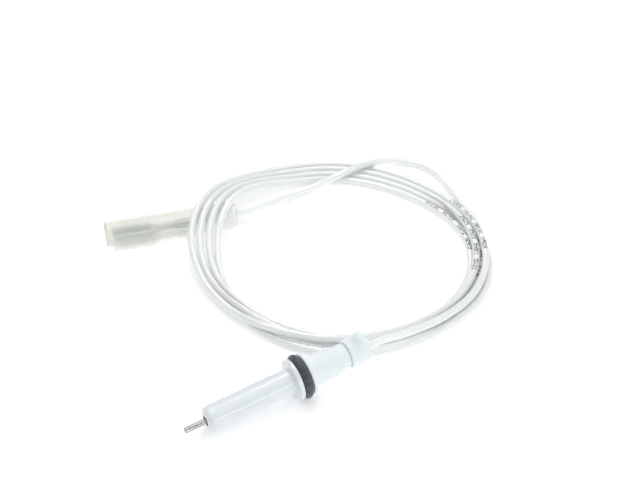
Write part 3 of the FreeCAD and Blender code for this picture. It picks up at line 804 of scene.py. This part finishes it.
def make_sleeve():
    """Sleeve: an oval tube whose outer and inner wall meet at the two cut rims, with a slow dent
    by the sine of the length along times the sine of twice the turn."""
    angle = np.linspace(0, TURN, 112, endpoint=False)
    stations = np.linspace(0, SLEEVE_LENGTH, 60)[:, None]
    rim = np.clip(np.minimum(stations, SLEEVE_LENGTH - stations) / CUT_ROUND, 0, 1)
    rounding = SLEEVE_WALL / 2 * (1 - np.sqrt(1 - (1 - rim) ** 2))
    dent = 0.16 * np.sin(0.16 * stations + 0.7) * np.sin(2 * angle + 0.4)

    def wall(inset):
        """The oval inset by a distance in mm at each station."""
        across = (SLEEVE_WIDTH / 2 + SLEEVE_SPREAD - inset + dent * 0.8) * np.cos(angle)
        up = (SLEEVE_HEIGHT / 2 - inset) * np.sin(angle) + 0 * stations
        return np.stack([stations + 0 * angle, across, up], -1)
    grid = np.concatenate([wall(rounding), wall(SLEEVE_WALL - rounding)[::-1]])
    return shell("terminal_sleeve_clear", in_sleeve(grid), SLEEVE)


# ------------------------------------------------------------------ lead
# The lead's control points: out of the boot, four turns and a bit of the coil, the wide loop
# outside it, over the coil's far side and back across the floor into the sleeve.

TAIL = [(23.0, 0.0, 9.16), (36.6, 0.0, 10.5), (49.6, 0.6, 7.7)]
LOOP = [(111.6, 43.2, 1.4), (114.3, 54.0, 1.4), (115.6, 64.2, 1.5), (117.6, 74.0, 1.5),
        (118.7, 83.2, 1.6), (117.1, 91.4, 1.5), (112.1, 98.0, 1.5), (104.8, 101.5, 2.4),
        (96.6, 101.2, 4.0), (87.8, 99.9, 5.0), (78.6, 98.7, 4.5), (68.4, 99.9, 1.8),
        (57.2, 99.4, 1.5), (45.6, 95.8, 3.9), (33.8, 95.3, 4.2), (21.2, 97.9, 4.1),
        (8.55, 100.89, 4.1)]

COIL_CENTRE = (57.0, 60.0)
COIL_FROM, COIL_TO, COIL_STEP = -78.0, 1414.0, 18.0

# How the strand of each turn lies, by bearing from the coil's centre in degrees: its distance
# from the centre and the height of its middle. A later turn crosses under the earlier ones
# between 190 and 225 degrees and comes out on the outside.
BEARINGS = (-85, -60, -35, -10, 15, 40, 70, 100, 130, 155, 178, 188, 197, 206, 215, 225, 240, 258)
REACH = (
    (57.0, 57.4, 56.6, 55.5, 54.8, 56.9, 59.4, 59.4, 57.0, 56.6, 55.0, 54.4, 54.8, 55.4, 55.4,
     54.9, 54.6, 54.4),
    (53.9, 53.6, 53.1, 52.3, 51.8, 53.1, 55.6, 56.0, 53.6, 53.3, 52.6, 51.8, 51.8, 52.0, 52.4,
     53.2, 54.9, 56.2),
    (55.2, 55.6, 55.0, 53.4, 48.7, 49.3, 51.6, 52.2, 49.9, 49.8, 49.9, 50.4, 50.2, 49.6, 49.5,
     50.2, 51.6, 52.8),
    (52.4, 51.7, 51.3, 49.7, 45.6, 45.6, 47.8, 48.2, 46.2, 46.4, 48.0, 49.6, 51.8, 54.8, 57.2,
     58.6, 59.2, 59.0),
    (57.8, 60.0, 58.4),
)
HEIGHT = (
    (4.7, 3.8, 3.7, 3.2, 1.5, 1.4, 1.4, 1.4, 1.4, 1.4, 1.6, 1.8, 2.6, 4.2, 4.2, 3.9, 3.8, 3.8),
    (3.8, 3.6, 3.7, 3.3, 1.6, 1.4, 1.4, 1.4, 1.4, 1.4, 1.8, 2.6, 4.2, 3.6, 2.2, 1.5, 1.4, 1.4),
    (1.4, 1.4, 1.4, 1.4, 1.4, 1.4, 1.4, 1.4, 1.4, 1.4, 2.7, 4.2, 3.2, 1.8, 1.4, 1.4, 1.4, 1.4),
    (1.4,) * len(BEARINGS),
    (1.4,) * 3,
)
# the strands rise over the sleeve in a bell round the bearing at which each crosses it: a strand
# that lies CROSS_REACH from the centre crosses at CROSS_BEARING, and each mm more adds CROSS_SLOPE
RISE = 9.5
RISE_HALF = 55.0
CROSS_BEARING = 128.2
CROSS_REACH = 46.0
CROSS_SLOPE = 0.707


def coil_points():
    """Control points of the coil, one every COIL_STEP degrees: a loop over the bearings looks up
    how that turn lies and adds the rise over the sleeve."""
    knots = [b + 360 * turn for turn, row in enumerate(REACH) for b in BEARINGS[:len(row)]]
    reach = [r for row in REACH for r in row]
    height = [h for row in HEIGHT for h in row]
    points = []
    for bearing in np.arange(COIL_FROM, COIL_TO, COIL_STEP):
        out = float(np.interp(bearing, knots, reach))
        up = float(np.interp(bearing, knots, height))
        local = (bearing - BEARINGS[0]) % 360 + BEARINGS[0]
        over_sleeve = CROSS_BEARING + CROSS_SLOPE * (out - CROSS_REACH)
        part = min(max((local - over_sleeve) / RISE_HALF, -1), 1)
        up += RISE * 0.5 * (1 + math.cos(math.pi * part))
        turn = math.radians(bearing)
        points.append((COIL_CENTRE[0] + out * math.cos(turn),
                       COIL_CENTRE[1] + out * math.sin(turn), up))
    return points


def lead_route(points):
    """Points of the smooth NURBS line that the control points pull."""
    curve = bpy.data.curves.new("lead_route", "CURVE")
    curve.dimensions = "3D"
    spline = curve.splines.new("NURBS")
    spline.points.add(len(points) - 1)
    for control, place in zip(spline.points, points):
        control.co = (*(MM * c for c in place), 1.0)
    spline.order_u = 3
    spline.use_endpoint_u = True
    spline.resolution_u = 24
    holder = bpy.data.objects.new("lead_route", curve)
    bpy.context.scene.collection.objects.link(holder)
    mesh = bpy.data.meshes.new_from_object(holder)
    line = np.empty(len(mesh.vertices) * 3)
    mesh.vertices.foreach_get("co", line)
    bpy.data.objects.remove(holder)
    bpy.data.curves.remove(curve)
    bpy.data.meshes.remove(mesh)
    return line.reshape(-1, 3) / MM


ROUTE_STEP = 0.75
LEAD_SIDES = 22


def make_lead():
    """Lead: a circle carried along the route. Its side vector is the route's direction crossed
    with up, so the print stays on top; its UV map holds the length along and the share round."""
    route = lead_route(TAIL + coil_points() + LOOP)
    steps = np.linalg.norm(np.diff(route, axis=0), axis=1)
    run = np.concatenate([[0], np.cumsum(steps)])
    even = np.linspace(0, run[-1], int(run[-1] / ROUTE_STEP))
    centre = np.stack([np.interp(even, run, route[:, k]) for k in range(3)], -1)
    heading = np.gradient(centre, axis=0)
    heading = heading / np.linalg.norm(heading, axis=1, keepdims=True)
    side = np.cross(heading, [0.0, 0.0, 1.0])
    side = side / np.linalg.norm(side, axis=1, keepdims=True)
    above = np.cross(side, heading)
    angle = np.linspace(0, TURN, LEAD_SIDES, endpoint=False)
    radius = LEAD_DIA / 2 * (1 + 0.006 * np.sin(even * 0.21))[:, None, None]
    ring = (np.cos(angle)[None, :, None] * side[:, None]
            + np.sin(angle)[None, :, None] * above[:, None])
    grid = centre[:, None] + radius * ring
    rows = len(even)
    quads = grid_quads(rows, LEAD_SIDES)
    ends = [list(range(LEAD_SIDES)), list(range((rows - 1) * LEAD_SIDES, rows * LEAD_SIDES))[::-1]]
    piece = mesh_piece("lead", grid, quads[:, ::-1].tolist() + ends, LEAD)
    row, col = np.meshgrid(np.arange(rows - 1), np.arange(LEAD_SIDES), indexing="ij")
    corner_row = np.stack([row + 1, row + 1, row, row], -1).reshape(-1)
    corner_col = np.stack([col, col + 1, col + 1, col], -1).reshape(-1)
    strip = np.zeros((len(piece.data.loops), 2))
    strip[:len(corner_row), 0] = even[corner_row]
    strip[:len(corner_row), 1] = corner_col / LEAD_SIDES
    layer = piece.data.uv_layers.new(name="lead")
    layer.data.foreach_set("uv", strip.ravel())
    return piece, centre


# ------------------------------------------------------------------ the object

for make, node, slot in (
        (make_rod, "electrode_rod", "rod_steel"),
        (make_insulator, "ceramic_insulator", "glazed_ceramic"),
        (make_cement, "rod_cement", "cement"),
        (make_seal, "seal_ring", "seal_rubber"),
        (make_housing, "rear_housing", "housing_white"),
        (make_bush, "neck_bush", "bush_white"),
        (make_boot, "rear_boot", "boot_silicone"),
        (make_grommet, "exit_grommet", "grommet_silicone")):
    piece = make()
    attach(piece, "probe")
    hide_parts(node)

terminal = make_terminal()
core = make_core()
for piece, node, slot in ((terminal, "spade_terminal", "terminal_brass"),
                          (core, "front_core", "tinned_copper")):
    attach(piece, "probe")
    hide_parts(node)

sleeve = make_sleeve()
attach(sleeve, "sleeve")
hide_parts("terminal_sleeve")
sleeve.visible_shadow = False

for node, material in (("cavity_potting", CEMENT_PAINTED_SHADE), ("crimp_ferrule", PLATED),
                       ("rear_core", TINNED)):
    for holder in frame["nodes"][node].material_slots:
        holder.material = material

lead, lead_line = make_lead()
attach(lead, "probe")
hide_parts("lead_tail", "lead_coil", "lead_loop")

# ------------------------------------------------------------------ studio


def make_floor():
    """Plain pale floor."""
    finish = Finish("pale_floor", (0.92, 0.92, 0.92), 0.6)
    finish.set("Emission Color", (1.0, 1.0, 1.0, 1.0))
    finish.set("Emission Strength", 0.26)
    tone = finish.noise(0.01, 2.0)
    finish.colour_from(finish.mixed(tone, (0.91, 0.91, 0.91), (0.93, 0.93, 0.93)))
    finish.set("Specular IOR Level", 0.1)
    reach = 4000.0
    corners = np.array([(-reach, -reach, 0), (reach, -reach, 0), (reach, reach, 0),
                        (-reach, reach, 0)], float)
    floor = mesh_piece("studio_floor", corners, [[0, 1, 2, 3]], finish.material)


def area_light(name, place, target, size, watts):
    """A soft white rectangular light that faces its target: size in m, place in mm."""
    light = bpy.data.lights.new(name, "AREA")
    light.shape = "RECTANGLE"
    light.size, light.size_y = size
    light.energy = watts
    lamp = bpy.data.objects.new(name, light)
    bpy.context.scene.collection.objects.link(lamp)
    aim(lamp, np.array(place, float), np.array(target, float))


def aim(thing, place, target):
    """Put a light or the camera at a place in mm, looking at a target with +Z up."""
    look = Vector(target - place)
    thing.location = Vector(place * MM)
    thing.rotation_euler = look.to_track_quat("-Z", "Y").to_euler()


CAMERA_TARGET = np.array([48.7, 65.5, 0.0])
CAMERA_BEARING = math.radians(29.1)
CAMERA_ELEVATION = math.radians(38.0)
CAMERA_DISTANCE = 440.0
CAMERA_LENS = 65.8
CAMERA_SENSOR = 36.0


def make_camera():
    """Camera that looks down on the object past the probe's tip."""
    data = bpy.data.cameras.new("camera")
    data.lens = CAMERA_LENS
    data.sensor_width = CAMERA_SENSOR
    camera = bpy.data.objects.new("camera", data)
    bpy.context.scene.collection.objects.link(camera)
    level = math.cos(CAMERA_ELEVATION)
    look = np.array([level * math.sin(CAMERA_BEARING), level * math.cos(CAMERA_BEARING),
                     -math.sin(CAMERA_ELEVATION)])
    aim(camera, CAMERA_TARGET - CAMERA_DISTANCE * look, CAMERA_TARGET)
    bpy.context.scene.camera = camera


def make_world():
    """White surroundings, dimmer towards the horizon."""
    world = bpy.data.worlds.new("studio")
    world.use_nodes = True
    tree = world.node_tree
    tree.nodes["Background"].inputs["Color"].default_value = (1.0, 1.0, 1.0, 1.0)
    place = tree.nodes.new("ShaderNodeTexCoord")
    parts = tree.nodes.new("ShaderNodeSeparateXYZ")
    height = tree.nodes.new("ShaderNodeMapRange")
    for name, number in (("From Min", 0.0), ("From Max", 0.6), ("To Min", 0.30), ("To Max", 0.72)):
        height.inputs[name].default_value = number
    tree.links.new(place.outputs["Generated"], parts.inputs["Vector"])
    tree.links.new(parts.outputs["Z"], height.inputs["Value"])
    tree.links.new(height.outputs["Result"], tree.nodes["Background"].inputs["Strength"])
    bpy.context.scene.world = world
    bpy.context.scene.view_settings.view_transform = "Standard"


def make_lights():
    """A large soft light above, a soft strip behind that draws lines on the lead, and a low strip
    in front that draws one on the glaze."""
    middle = (50, 60, 0)
    area_light("top_light", (30, 150, 640), middle, (0.80, 0.60), 0.85)
    area_light("back_light", (211, 417, 520), middle, (0.09, 0.50), 1.15)
    area_light("front_light", (190, -400, 150), (10, 0, 5), (0.50, 0.075), 0.5)


make_floor()
make_world()
make_lights()
make_camera()
